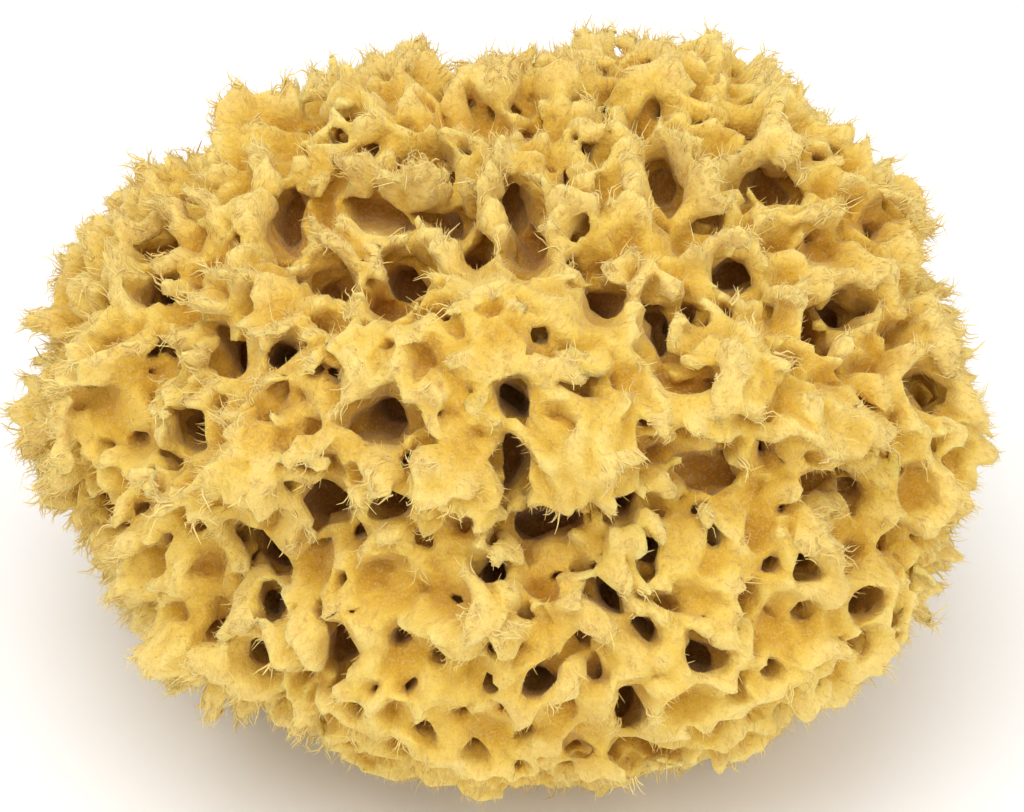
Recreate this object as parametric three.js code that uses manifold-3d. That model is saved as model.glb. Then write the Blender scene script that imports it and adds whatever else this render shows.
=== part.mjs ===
// Honeycomb bath sponge: one grown, dried piece, cut flat where it held the rock.
// Millimetres, +Z up. It rests on the cut at z = 0, with the origin under the middle of the sponge.
// Its front faces -Y: azimuth 0 is the front and grows towards +X, elevation 90 is the crown.

import * as THREE from 'three';
import { mergeVertices } from 'three/addons/utils/BufferGeometryUtils.js';
import Module from 'manifold-3d';

const wasm = await Module();
wasm.setup();

// ---- Driving dimensions ----

const HALF_WIDTH = 78.5; // X half axis of the ovoid under the lobes and tufts
const HALF_DEPTH = 69; // Y half axis
const HALF_HEIGHT = 53.5; // Z half axis
const CORE_HEIGHT = 41.5; // height of the ovoid's middle above the cut
const MASS_DETAIL = 12; // how finely the skin of the ovoid is divided
const TUFT_LOW = -2.6; // how far the skin dips between tufts
const TUFT_HIGH = 3.2; // how far a tuft stands out
const FLAT_RIM = 6; // the skin stays smooth this close to the cut
const SKIN_CLEARANCE = 9; // how far a canal's cutter starts outside the skin
const MOUTH_FLARE = 1.3; // a canal's mouth against its throat
const TIP_TAPER = 0.62; // a canal's blind end against its throat
const WIDE_CANAL = 2.9; // from this throat radius a canal gets more sides
const WIDE_SIDES = 7;
const NARROW_SIDES = 6;
const HEART = new THREE.Vector3(0, 6, 34); // the point that the canals run towards

const SPONGE_GOLD = 0xd2a853;

// Lobes of the surface: azimuth, elevation, spread and height. Height below zero is a hollow.
const LOBES = [
  // crown
  [-5, 60, 8, 4.5],
  [-64, 73, 7, 3],
  [41, 79, 7, 3],
  [60, 68, 8, 3.5],
  [170, 62, 11, 2.5],
  [-140, 50, 11, 2.5],
  [143, 42, 11, 2.5],
  // upper front, which bulges over the lower front
  [-30, 47, 7, 4.5],
  [20, 51, 8, 4.5],
  [-12, 42, 9, 4],
  [13, 38, 7, 4],
  [-12, 34, 7, 2.5],
  [-18, 32, 7, 2],
  [21, 36, 7, 2.5],
  [43, 39, 10, 4],
  [47, 30, 8, 3.5],
  [-44, 36, 8, 3.5],
  [-35, 30, 8, 3],
  [-42, 20, 7, 4],
  // flanks
  [-70, 45, 9, 3],
  [-72, 20, 10, 3],
  [-94, 23, 10, 3],
  [62, 52, 8, 3],
  [68, 16, 9, 3],
  [94, 23, 10, 3.5],
  [118, 27, 11, 3],
  [-112, 30, 11, 3],
  // lower front and the trimmed lip
  [1, 21, 8, 3.5],
  [-8, 12, 9, 3.5],
  [-26, 19, 9, 3],
  [37, 18, 9, 3],
  [23, 2, 9, 3],
  [6, -6, 10, 3],
  [-14, 0, 9, 3],
  [44, 0, 10, 3.5],
  // the hollow line under the upper front
  [-28, 24, 7, -4],
  [-8, 27, 6, -3],
  [8, 27, 7, -4],
  [31, 28, 7, -5],
  [50, 21, 7, -4],
  [-38, 13, 6, -4],
  // back
  [150, 15, 12, 3],
  [-155, 18, 12, 3],
  [178, 32, 9, -3],
  [-175, 2, 12, 2.5],
];

// Canals of the front and crown: azimuth, elevation, throat radius, depth, stretch, roll.
// A stretched canal is an oval slit, and roll 0 sets its long way level.
const FRONT_CANALS = [
  [-60, 77, 2.8, 34, 1.3, 60],
  [-80, 66, 3.1, 12, 2.0, 10],
  [13, 82, 3.8, 20, 1.4, 80],
  [7, 72, 3.9, 40, 1.3, 80],
  [-45, 64, 3.6, 18, 1.5, 70],
  [-34, 56, 3.9, 38, 1.2, 0],
  [64, 50, 3.5, 34, 1.5, 0],
  [45, 50, 2.3, 30, 1, 0],
  [-59, 37, 3.1, 30, 1.3, 50],
  [-47, 41, 2.0, 26, 1, 0],
  [-23, 40, 4.0, 34, 1.3, 0],
  [-56, 27, 3.4, 30, 1, 0],
  [65, 37, 2.7, 26, 1.6, 70],
  [0, 35, 2.7, 34, 2.0, 90],
  [-18, 29, 3.5, 30, 1, 0],
  [-29, 26, 4.2, 26, 1.4, 10],
  [6, 27, 2.7, 28, 2.4, -10],
  [33, 29, 4.8, 18, 1.5, 0],
  [51, 20, 3.3, 22, 2.0, 0],
  [-39, 15, 3.7, 24, 1.6, 40],
  [19, 28, 2.0, 24, 1, 0],
  [22, 21, 1.9, 22, 1, 0],
  [13, 17, 1.9, 26, 1.5, 60],
  [17, 12, 2.1, 24, 1, 0],
  [25, 8, 2.5, 26, 1.3, 20],
  [16, 1, 2.3, 22, 1.6, 80],
  [4, 7, 2.2, 22, 1.2, 40],
  [-3, 21, 2.1, 20, 1.3, 0],
  [-23, 9, 2.5, 26, 1.8, 90],
  [-35, 2, 2.7, 20, 1.4, 60],
  [-34, 10, 2.2, 18, 1, 0],
  [122, 42, 4.2, 12, 1.2, 0],
  [97, 49, 4.0, 14, 1.3, 20],
  [-87, 52, 3.1, 16, 1.8, 90],
  [-95, 33, 3.6, 16, 1.2, 0],
  [-81, 33, 3.2, 20, 1, 0],
  [92, 66, 3.0, 14, 1.9, 90],
  [-20, 72, 3.0, 18, 1, 0],
  [-57, 53, 3.5, 14, 1.2, 0],
  [2, 44, 2.5, 20, 1.5, 60],
  [28, 59, 3.9, 16, 1, 0],
  [34, 51, 2.0, 18, 2.4, 80],
  [18, -9, 2.6, 14, 2.4, 10],
  [41, 14, 2.3, 18, 1, 0],
  [49, 5, 2.7, 20, 1, 0],
  [61, 0, 2.4, 20, 1, 0],
  [74, 20, 3.0, 24, 1.2, 60],
  [77, 34, 2.9, 22, 1, 0],
  [-68, 4, 3.2, 22, 1.2, 0],
  [86, 12, 3.2, 24, 1.2, 70],
];

// Canals of the flanks and back, spread evenly where the list above leaves room.
const SIDE_SPOTS = 120;
const SIDE_FROM_AZIMUTH = 58;
const SIDE_LOWEST = -32;
const SIDE_HIGHEST = 72;
const SIDE_ROOM = 13; // degrees kept free around each listed canal
const SIDE_RADIUS = [2.3, 4.2];
const SIDE_DEPTH = [16, 32];
const SIDE_STRETCH = [1, 1.5];

// Canals laid open by the cut, in a ring that leaves its middle solid.
const CUT_CANALS = 9;
const CUT_RING = [22, 36];
const CUT_RADIUS = [2.2, 3.6];
const CUT_DEPTH = [8, 14];

// ---- Helpers ----

const core = new THREE.Vector3(0, 0, CORE_HEIGHT);

function towards(azimuth, elevation) {
  const turn = THREE.MathUtils.degToRad(azimuth);
  const rise = THREE.MathUtils.degToRad(elevation);
  return new THREE.Vector3(
    Math.sin(turn) * Math.cos(rise),
    -Math.cos(turn) * Math.cos(rise),
    Math.sin(rise),
  );
}

// A repeatable scatter between 0 and 1.
function scatter(count) {
  const spread = Math.sin(count * 12.9898 + 4.1) * 43758.5453;
  return spread - Math.floor(spread);
}

function between(range, share) {
  return range[0] + (range[1] - range[0]) * share;
}

// Welds a geometry into a closed mesh and drops the triangles that shrink to a line at its poles.
function weld(source) {
  const bare = source.clone();
  bare.deleteAttribute('normal');
  bare.deleteAttribute('uv');
  const welded = mergeVertices(bare, 1e-4);
  const corners = welded.index.array;
  const kept = [];
  for (let at = 0; at < corners.length; at += 3) {
    const [a, b, c] = corners.slice(at, at + 3);
    if (a !== b && b !== c && c !== a) {
      kept.push(a, b, c);
    }
  }
  welded.setIndex(kept);
  return welded;
}

function toSolid(geometry) {
  const vertProperties = new Float32Array(geometry.attributes.position.array);
  const triVerts = new Uint32Array(geometry.index.array);
  return new wasm.Manifold(new wasm.Mesh({ numProp: 3, vertProperties, triVerts }));
}

function toGeometry(solid) {
  const mesh = solid.getMesh();
  const geometry = new THREE.BufferGeometry();
  geometry.setAttribute('position', new THREE.BufferAttribute(new Float32Array(mesh.vertProperties), 3));
  geometry.setIndex(new THREE.BufferAttribute(new Uint32Array(mesh.triVerts), 1));
  return geometry;
}

// ---- The grown mass ----

function ovoidReach(direction) {
  const x = direction.x / HALF_WIDTH;
  const y = direction.y / HALF_DEPTH;
  const z = direction.z / HALF_HEIGHT;
  return 1 / Math.hypot(x, y, z);
}

const lobeCentres = LOBES.map(([azimuth, elevation]) => {
  const direction = towards(azimuth, elevation);
  return direction.multiplyScalar(ovoidReach(direction));
});

// How far the lobed surface stands from the core along a direction.
function reach(direction) {
  const plain = ovoidReach(direction);
  const foot = direction.clone().multiplyScalar(plain);
  let grown = plain;
  LOBES.forEach(([, , spread, height], at) => {
    const away = foot.distanceTo(lobeCentres[at]) / spread;
    grown += height * Math.exp(-0.5 * away * away);
  });
  return grown;
}

function grownMass() {
  const skin = weld(new THREE.IcosahedronGeometry(1, MASS_DETAIL));
  const place = skin.attributes.position;
  const direction = new THREE.Vector3();
  for (let at = 0; at < place.count; at += 1) {
    direction.fromBufferAttribute(place, at).normalize();
    const smooth = reach(direction);
    const height = core.z + direction.z * smooth;
    const ragged = THREE.MathUtils.smoothstep(height, 0, FLAT_RIM);
    const tuft = between([TUFT_LOW, TUFT_HIGH], scatter(at)) * ragged;
    direction.multiplyScalar(smooth + tuft).add(core);
    place.setXYZ(at, direction.x, direction.y, direction.z);
  }
  return toSolid(skin);
}

// ---- Canals ----

// A tapered cutter with a rounded blind end. It stands on Y, with its mouth at the origin.
function cutter(radius, depth) {
  const profile = [
    new THREE.Vector2(0, -depth),
    new THREE.Vector2(radius * TIP_TAPER, -depth + radius * 0.5),
    new THREE.Vector2(radius, -depth * 0.45),
    new THREE.Vector2(radius * MOUTH_FLARE, SKIN_CLEARANCE),
    new THREE.Vector2(0, SKIN_CLEARANCE),
  ];
  const sides = radius < WIDE_CANAL ? NARROW_SIDES : WIDE_SIDES;
  return new THREE.LatheGeometry(profile, sides);
}

// Lays a cutter with its mouth on the skin, pointing at the heart of the sponge.
function canal([azimuth, elevation, radius, depth, stretch, roll]) {
  const outward = towards(azimuth, elevation);
  const mouth = outward.clone().multiplyScalar(reach(outward)).add(core);
  const along = mouth.clone().sub(HEART).normalize();
  const level = new THREE.Vector3(0, 0, 1).cross(along).normalize();
  const upright = new THREE.Vector3().crossVectors(level, along);
  const shape = cutter(radius, depth);
  shape.scale(stretch, 1, 1);
  shape.rotateY(THREE.MathUtils.degToRad(roll));
  shape.applyMatrix4(new THREE.Matrix4().makeBasis(level, along, upright));
  shape.translate(mouth.x, mouth.y, mouth.z);
  return toSolid(weld(shape));
}

function sideCanals() {
  const goldenTurn = 137.508;
  const listed = FRONT_CANALS.map(([azimuth, elevation]) => towards(azimuth, elevation));
  const canals = [];
  for (let spot = 0; spot < SIDE_SPOTS; spot += 1) {
    const height = 1 - (2 * (spot + 0.5)) / SIDE_SPOTS;
    const elevation = THREE.MathUtils.radToDeg(Math.asin(height));
    const azimuth = THREE.MathUtils.euclideanModulo(spot * goldenTurn, 360) - 180;
    const outward = towards(azimuth, elevation);
    const nearest = Math.min(...listed.map((other) => outward.angleTo(other)));
    const roomy = THREE.MathUtils.radToDeg(nearest) > SIDE_ROOM;
    const aside = Math.abs(azimuth) > SIDE_FROM_AZIMUTH;
    if (roomy && aside && elevation > SIDE_LOWEST && elevation < SIDE_HIGHEST) {
      canals.push([
        azimuth,
        elevation,
        between(SIDE_RADIUS, scatter(spot + 100)),
        between(SIDE_DEPTH, scatter(spot + 200)),
        between(SIDE_STRETCH, scatter(spot + 300)),
        180 * scatter(spot + 400),
      ]);
    }
  }
  return canals;
}

function cutCanal(place) {
  const turn = (2 * Math.PI * (place + 0.4 * scatter(place + 500))) / CUT_CANALS;
  const out = between(CUT_RING, scatter(place + 600));
  const radius = between(CUT_RADIUS, scatter(place + 700));
  const shape = cutter(radius, between(CUT_DEPTH, scatter(place + 800)));
  shape.rotateX(-Math.PI / 2); // the mouth faces down
  shape.translate(out * Math.cos(turn), out * Math.sin(turn), 0);
  return toSolid(weld(shape));
}

// ---- The cut ----

// Everything below z = 0, where the sponge was cut off its rock.
function belowTheCut() {
  const side = 4 * HALF_WIDTH;
  const block = new THREE.BoxGeometry(side, side, side);
  block.translate(0, 0, -side / 2);
  return toSolid(weld(block));
}

// ---- Sponge ----

function sponge() {
  let solid = grownMass();
  for (const entry of [...FRONT_CANALS, ...sideCanals()]) {
    solid = solid.subtract(canal(entry));
  }
  solid = solid.subtract(belowTheCut());
  for (let place = 0; place < CUT_CANALS; place += 1) {
    solid = solid.subtract(cutCanal(place));
  }
  const geometry = toGeometry(solid);
  geometry.computeBoundingBox();
  const middle = geometry.boundingBox.getCenter(new THREE.Vector3());
  geometry.translate(-middle.x, -middle.y, -geometry.boundingBox.min.z);
  geometry.computeVertexNormals();
  const material = new THREE.MeshStandardMaterial({ color: SPONGE_GOLD, roughness: 0.95, metalness: 0 });
  const mesh = new THREE.Mesh(geometry, material);
  mesh.name = 'sponge';
  return mesh;
}

const model = new THREE.Group();
model.add(sponge());
export default model;
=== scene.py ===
"""Looks of the honeycomb bath sponge: its pored skeleton, frayed tufts, finish, light and camera."""

import math

import bpy
import numpy as np
import openvdb
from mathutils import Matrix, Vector


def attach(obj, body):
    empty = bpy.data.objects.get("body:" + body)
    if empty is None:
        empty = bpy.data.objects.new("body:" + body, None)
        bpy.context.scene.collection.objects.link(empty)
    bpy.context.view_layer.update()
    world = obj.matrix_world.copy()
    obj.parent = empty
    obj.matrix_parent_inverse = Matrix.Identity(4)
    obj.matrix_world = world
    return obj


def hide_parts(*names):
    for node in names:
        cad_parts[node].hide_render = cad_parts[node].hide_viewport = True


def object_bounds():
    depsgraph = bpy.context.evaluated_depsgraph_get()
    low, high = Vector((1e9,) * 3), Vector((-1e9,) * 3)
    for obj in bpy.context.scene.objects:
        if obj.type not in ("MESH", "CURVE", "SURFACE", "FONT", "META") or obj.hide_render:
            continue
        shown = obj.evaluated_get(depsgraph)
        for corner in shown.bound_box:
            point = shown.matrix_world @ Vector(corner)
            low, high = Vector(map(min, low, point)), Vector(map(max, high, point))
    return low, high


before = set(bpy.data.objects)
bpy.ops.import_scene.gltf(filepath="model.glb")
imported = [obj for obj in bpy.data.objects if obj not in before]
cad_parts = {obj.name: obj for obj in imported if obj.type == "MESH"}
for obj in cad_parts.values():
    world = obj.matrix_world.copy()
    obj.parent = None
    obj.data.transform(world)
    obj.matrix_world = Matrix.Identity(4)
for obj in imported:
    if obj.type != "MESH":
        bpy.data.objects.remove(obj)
frame_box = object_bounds()

MM = 0.001  # shapes are worked out in millimetres and stored in metres

# ---- Sizes of the skeleton, in millimetres ----

VOXEL = 0.66  # spacing of the grid that the skeleton is carved in
GRID_MARGIN = 9.0
DEEPEST = 22.0  # depth up to which the skin's distance is worked out
CANAL_CLOSING = 5.5  # swelling that closes the frame's canals before it is taken back
SKIN_SOFTENING = 2.0  # rounds the frame's facets
SKIN_SINK = 1.6  # the pores' mouths lie this far under the rounded skin
TUFT_REACH = 5.8  # how far the tufts may stand out from the mouths
TUFT_TAPER = 0.42  # how much a wall thins on each side for each mm that it stands out
TUFT_RAGGEDNESS = 2.8
FRAY_SPACING = 0.9  # across the ridges that run out along the tufts to their tips
FRAY_HEIGHT = 3.6  # of the teeth at the tips
FRAY_RELIEF = 2.1  # of the ridges
FRAYED_SKIN = (-3.0, 1.0)  # height above the skin at which the ridges start and are full
TIP_RAGGEDNESS = 0.6  # share of the raggedness at the very tips
STREAK_SHELL = 36.0  # the streaks are read near a shell of this radius,
STREAK_DRIFT = 0.3  # which grows by this share of the distance from the middle
RAGGED_CLOUDS = ((3.0, 0.8), (1.5, 0.5))  # spacing and share of the clouds that make the tips ragged
LUMP_HEIGHT = 2.0  # broad lumps of the skin
LUMP_SPACING = 7.5
GRAIN_HEIGHT = 0.8  # fine unevenness of every surface
GRAIN_SPACING = 1.3
CALM_RAGGEDNESS = 0.25  # share of the tufts' height and raggedness that is left in calm places
CALM_FRAYS = 0.4  # and of their frays
CALM_TAPER = 0.5  # and of their taper
CORE = np.array([0.0, 0.0, 41.0])  # middle of the ovoid that the frame solid grows from
HEART = np.array([0.0, 6.0, 34.0])  # the point that the canals run towards
FRONT_FACING = np.array([0.0, -0.79, 0.61])  # the way that the front canals open,
FRONT_SHARE = 0.85  # by this share where the skin faces that way
CANAL_LEAD = 9.0  # how far a front canal's cut runs out through the tufts
CUT_LIP = 7.0  # height of the trimmed lip above the cut
BODY_TRIANGLES = 192_000
NEAR = 1.5  # reach of the sponge counted as near a point, and as widely around it
WIDE = 4.5
TUFT_WIDTH = 3.0  # a tuft points away from the sponge within this reach
CALM_ROUNDING = 1.8  # softness of a rim where a pore meets the smooth skin
TUFT_ROUNDING = 1.0
WALL_ROUNDING = 1.2  # softness of the ridge between two pores

# Pores of the tufted part and of the calm lower front: radius, least wall between two of them,
# depth against radius, and flare per mm. Each kind lies in layers under the skin.
TUFTED_PORES = (
    {"radius": (2.2, 3.4), "wall": 3.4, "depth": (0.8, 1.5), "flare": 0.10},
    {"radius": (1.2, 2.0), "wall": 2.5, "depth": (0.9, 1.9), "flare": 0.10},
    {"radius": (0.7, 1.2), "wall": 2.1, "depth": (1.3, 3.0), "flare": 0.10},
)
CALM_PORES = (
    {"radius": (3.0, 4.6), "wall": 1.6, "depth": (0.5, 0.9), "flare": 0.14},
    {"radius": (1.5, 2.3), "wall": 3.2, "depth": (3.0, 5.0), "flare": 0.06},
    {"radius": (0.9, 1.4), "wall": 2.2, "depth": (4.5, 8.0), "flare": 0.06},
)
PORE_LAYERS = ((0.0,), (0.0,), (0.0, 5.0))  # depths of the layers, for each kind
TUFTED_TILT = 0.30  # spread of the pores' directions in the tufted part,
CALM_TILT = 0.12  # in the calm part,
DEEP_TILT = 0.08  # and what each mm of depth adds
TUFTED_ROLL = (90, 35)  # most of the tufted pores are taller than wide
PORE_STRETCH = (1, 1.45)
PORE_BEND = 0.03
PORE_TAPER = 0.3
PORE_LEAD = 7.0  # how far a pore's cut runs out through the tufts
SHALLOWEST_PORE = 0.8
CANAL_BEND = 0.012
CANAL_TAPER = 0.35
CANAL_FLARE = 0.04
CANAL_THROAT = (1.3, 0.6)  # a canal's radius here: the first number plus this share of the listed one
TALL_LUMP = 2.0  # lumps from this height up stay whole:
WHOLE_LUMP = 3.0  # pores keep this far from their middle
CANAL_DEEPEST = 17.0  # the finished canals end here, so that their floors still catch some light
CROWDED_CANAL = 0.85  # share of a canal's mouth that other pores keep clear of
PORE_PLACES = 14000  # places on the skin that are tried for a pore
LOWEST_PORE = 3.0
WALL_HOLES = 300  # small holes that pierce the walls
WALL_HOLE_RADIUS = (0.8, 1.5)
WALL_HOLE_LENGTH = (4, 9)
WALL_HOLE_STRETCH = (1, 1.5)
WALL_HOLE_SINK = (-1.5, 7.0)  # how far under the skin they start
WALL_HOLE_TAPER = 0.2
WALL_HOLE_LEAD = 2.0

# Where the skin is calm: heights between which it fades out, distances in front of the middle and
# across the front between which it fades in, and the trimmed lip.
CALM_BELOW = (54, 68)
CALM_FROM_FRONT = (20, 45)
CALM_FROM_LEFT = ((-60, -46, 0.4), (-42, -24, 0.6))
LIP_BELOW = (5, 18)
CALM_LIP = 0.8

# Tufted lumps of the front, the brow that hangs over the lower front, and the hollow line under it:
# azimuth, elevation, spread and height.
TUFTED_LUMPS = [
    (-6, 60, 6, 2.6),
    (-5, 50, 7, 3.4),
    (-30, 48, 5, 2.2),
    (20, 52, 5, 2.6),
    (45, 42, 6, 2.0),
    (-42, 28, 6, 2.0),
    (-30, 33, 5, 1.2),
    (-12, 35, 5, 2.4),
    (2, 38, 5, 1.0),
    (13, 37, 5, 2.2),
    (34, 35, 6, 2.4),
    (52, 29, 6, 2.2),
    (-42, 12, 5, -3.5),
    (-28, 20, 5, -4.5),
    (-12, 23, 5, -3.5),
    (6, 23, 5, -4.5),
    (24, 23, 5, -3.0),
    (38, 24, 6, -4.0),
    (54, 17, 6, -4.0),
]

# Broad changes of the outline: the full shoulders at the back and the narrowed lower front.
OUTLINE = [
    (150, 38, 20, 4.5),
    (-150, 38, 20, 2.0),
    (0, 80, 26, -2.5),
    (180, 52, 22, -1.5),
    (122, 45, 18, 4.0),
    (-125, 45, 18, 1.5),
    (90, 8, 20, -2.5),
    (78, -12, 16, -6.0),
    (112, 38, 12, 4.0),
    (96, 16, 12, -4.0),
    (-70, -12, 18, -8.0),
    (-44, -30, 14, -8.5),
    (-24, -36, 10, -3.0),
    (52, -28, 12, -3.5),
    (-6, -32, 18, -2.0),
    (20, -28, 18, -1.0),
]

# Shallow hollows of the trimmed lip: azimuth, elevation, radius, depth, stretch, roll.
LIP_HOLLOWS = [
    (-30, -12, 3.0, 6, 1.5, 20),
    (-14, -10, 3.4, 5, 1.7, 160),
    (1, -13, 4.2, 6, 1.7, 5),
    (30, -13, 3.4, 6, 1.8, 170),
    (46, -13, 2.8, 7, 1.5, 10),
    (9, -26, 2.6, 5, 1.8, 0),
    (-22, -26, 2.6, 5, 1.8, 0),
    (34, -27, 2.6, 5, 1.8, 0),
]

# Canals of the front and crown, close to the frame's: azimuth, elevation, throat radius, depth,
# stretch, roll.
FRONT_CANALS = [
    (-60, 77, 2.8, 34, 1.3, 60),
    (-80, 66, 3.1, 12, 2.0, 10),
    (13, 82, 3.8, 20, 1.4, 80),
    (7, 72, 3.9, 40, 1.3, 80),
    (-45, 64, 3.6, 18, 1.5, 70),
    (-34, 56, 3.9, 38, 1.2, 0),
    (64, 50, 3.5, 34, 1.5, 0),
    (45, 50, 2.3, 30, 1, 0),
    (-59, 37, 3.1, 30, 1.3, 50),
    (-47, 41, 2.0, 26, 1, 0),
    (-23, 40, 4.0, 34, 1.3, 0),
    (-56, 27, 3.4, 30, 1, 0),
    (65, 37, 2.7, 26, 1.6, 70),
    (0, 35, 2.7, 34, 2.0, 90),
    (-18, 29, 3.5, 30, 1, 0),
    (-29, 26, 4.2, 26, 1.4, 10),
    (6, 27, 2.7, 28, 2.4, -10),
    (33, 29, 3.8, 8, 1.3, 25),
    (51, 20, 2.4, 9, 1.8, -15),
    (-39, 15, 3.7, 24, 1.6, 40),
    (19, 28, 2.0, 24, 1, 0),
    (22, 21, 1.9, 22, 1, 0),
    (13, 17, 1.9, 26, 1.5, 60),
    (17, 12, 2.1, 24, 1, 0),
    (25, 8, 2.5, 26, 1.3, 20),
    (16, 1, 2.3, 22, 1.6, 80),
    (4, 7, 2.2, 22, 1.2, 40),
    (-3, 21, 2.1, 20, 1.3, 0),
    (-23, 9, 2.5, 26, 1.8, 90),
    (-35, 2, 2.7, 20, 1.4, 60),
    (-34, 10, 2.2, 18, 1, 0),
    (122, 42, 4.2, 12, 1.2, 0),
    (97, 49, 4.0, 14, 1.3, 20),
    (-87, 52, 3.1, 16, 1.8, 90),
    (-95, 33, 3.6, 16, 1.2, 0),
    (-81, 33, 3.2, 20, 1, 0),
    (92, 66, 3.0, 14, 1.9, 90),
    (-20, 72, 3.0, 18, 1, 0),
    (-57, 53, 3.5, 14, 1.2, 0),
    (2, 44, 2.5, 20, 1.5, 60),
    (28, 59, 3.9, 16, 1, 0),
    (34, 51, 2.0, 18, 2.4, 80),
    (18, -9, 2.6, 14, 2.4, 10),
    (41, 14, 2.3, 18, 1, 0),
    (49, 5, 2.7, 20, 1, 0),
    (61, 0, 2.4, 20, 1, 0),
    (74, 20, 3.0, 24, 1.2, 60),
    (77, 34, 2.9, 22, 1, 0),
    (-68, 4, 3.2, 22, 1.2, 0),
    (86, 12, 3.2, 24, 1.2, 70),
]

# Side canals, spread by the same rule as in the frame.
SIDE_SPOTS = 120
SIDE_FROM_AZIMUTH = 58
SIDE_LOWEST = -32
SIDE_HIGHEST = 72
SIDE_ROOM = 13
SIDE_RADIUS = (2.3, 4.2)
SIDE_DEPTH = (16, 32)
SIDE_STRETCH = (1, 1.5)


# ---- Small maths ----

def smoothstep(value, low, high):
    share = np.clip((value - low) / (high - low), 0.0, 1.0)
    return share * share * (3.0 - 2.0 * share)


def smooth_max(a, b, rounding):
    blend = np.maximum(rounding - np.abs(a - b), 0.0) / rounding
    return np.maximum(a, b) + blend * blend * rounding * 0.25


def towards(azimuth, elevation):
    turn, rise = math.radians(azimuth), math.radians(elevation)
    return np.array([
        math.sin(turn) * math.cos(rise),
        -math.cos(turn) * math.cos(rise),
        math.sin(rise),
    ])


def scatter(count):
    spread = math.sin(count * 12.9898 + 4.1) * 43758.5453
    return spread - math.floor(spread)


def between(limits, share):
    return limits[0] + (limits[1] - limits[0]) * share


def unit(vectors):
    return vectors / np.maximum(np.linalg.norm(vectors, axis=-1, keepdims=True), 1e-9)


# ---- Node trees ----

class Wire:
    """One socket of a node tree. Arithmetic on it adds Math nodes, or Vector Math where it is a vector."""

    def __init__(self, bench, socket):
        self.bench = bench
        self.socket = socket

    def output(self, name):
        return Wire(self.bench, self.socket.node.outputs[name])

    def _math(self, operation, first, second):
        vector = any(isinstance(side, Wire) and side.socket.type == "VECTOR" for side in (first, second))
        kind = "ShaderNodeVectorMath" if vector else "ShaderNodeMath"
        if vector:
            first, second = (
                (side,) * 3 if isinstance(side, (int, float)) else side for side in (first, second))
        return self.bench.add(kind, {"operation": operation}, {0: first, 1: second})

    def __add__(self, other):
        return self._math("ADD", self, other)

    def __sub__(self, other):
        return self._math("SUBTRACT", self, other)

    def __mul__(self, other):
        return self._math("MULTIPLY", self, other)

    def __truediv__(self, other):
        return self._math("DIVIDE", self, other)

    def __pow__(self, other):
        return self._math("POWER", self, other)

    def __radd__(self, other):
        return self._math("ADD", other, self)

    def __rsub__(self, other):
        return self._math("SUBTRACT", other, self)

    def __rmul__(self, other):
        return self._math("MULTIPLY", other, self)

    def __rtruediv__(self, other):
        return self._math("DIVIDE", other, self)

    def step(self, low, high):
        """0 below low, 1 above high, smooth between. With low above high it falls."""
        return self.bench.add("ShaderNodeMapRange", {"interpolation_type": "SMOOTHSTEP"}, {
            "Value": self, "From Min": low, "From Max": high, "To Min": 0.0, "To Max": 1.0})


class Bench:
    """Adds nodes to one tree."""

    def __init__(self, tree):
        self.tree = tree

    def add(self, kind, settings=None, inputs=None, out=0):
        node = self.tree.nodes.new(kind)
        for name, value in (settings or {}).items():
            if name == "stops":
                self._set_stops(node.color_ramp, value)
            else:
                setattr(node, name, value)
        for name, value in (inputs or {}).items():
            if isinstance(value, Wire):
                self.tree.links.new(value.socket, node.inputs[name])
            else:
                node.inputs[name].default_value = value
        return Wire(self, node.outputs[out]) if node.outputs else node

    @staticmethod
    def _set_stops(ramp, stops):
        while len(ramp.elements) < len(stops):
            ramp.elements.new(0.5)
        for element, (place, colour) in zip(ramp.elements, stops):
            element.position = place
            element.color = (*colour, 1.0)

    def mix(self, factor, first, second, blend="MIX"):
        return self.add("ShaderNodeMix", {"data_type": "RGBA", "blend_type": blend}, {
            "Factor": factor, 6: first, 7: second}, out=2)

    def attribute(self, name, kind="FLOAT"):
        return self.add("GeometryNodeInputNamedAttribute", {"data_type": kind}, {"Name": name})


class Tree(Bench):
    """A Geometry Nodes tree with named inputs, which turns one mesh into another."""

    def __init__(self, name, **inputs):
        super().__init__(bpy.data.node_groups.new(name, "GeometryNodeTree"))
        face = self.tree.interface
        face.new_socket("Geometry", in_out="INPUT", socket_type="NodeSocketGeometry")
        face.new_socket("Geometry", in_out="OUTPUT", socket_type="NodeSocketGeometry")
        for label, value in inputs.items():
            kind = "NodeSocketInt" if isinstance(value, int) else "NodeSocketFloat"
            face.new_socket(label, in_out="INPUT", socket_type=kind).default_value = value
        self.source = self.tree.nodes.new("NodeGroupInput")
        self.result = self.tree.nodes.new("NodeGroupOutput")

    def given(self, name):
        return Wire(self, self.source.outputs[name])

    def end(self, geometry, material):
        real = self.add("GeometryNodeRealizeInstances", None, {"Geometry": geometry})
        done = self.add("GeometryNodeSetMaterial", None, {"Geometry": real, "Material": material})
        self.tree.links.new(done.socket, self.result.inputs[0])

    def grow(self, name, base, **values):
        """Runs the tree on a copy of base and returns the result as a plain mesh object."""
        thing = bpy.data.objects.new(name, base.data.copy())
        bpy.context.scene.collection.objects.link(thing)
        growth = thing.modifiers.new(name, "NODES")
        growth.node_group = self.tree
        for item in self.tree.interface.items_tree:
            if item.in_out == "INPUT" and item.name in values:
                growth[item.identifier] = values[item.name]
        depsgraph = bpy.context.evaluated_depsgraph_get()
        result = bpy.data.meshes.new_from_object(thing.evaluated_get(depsgraph), depsgraph=depsgraph)
        thing.modifiers.clear()
        thing.data = result
        result.name = name
        return thing


# ---- The grid ----

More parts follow.
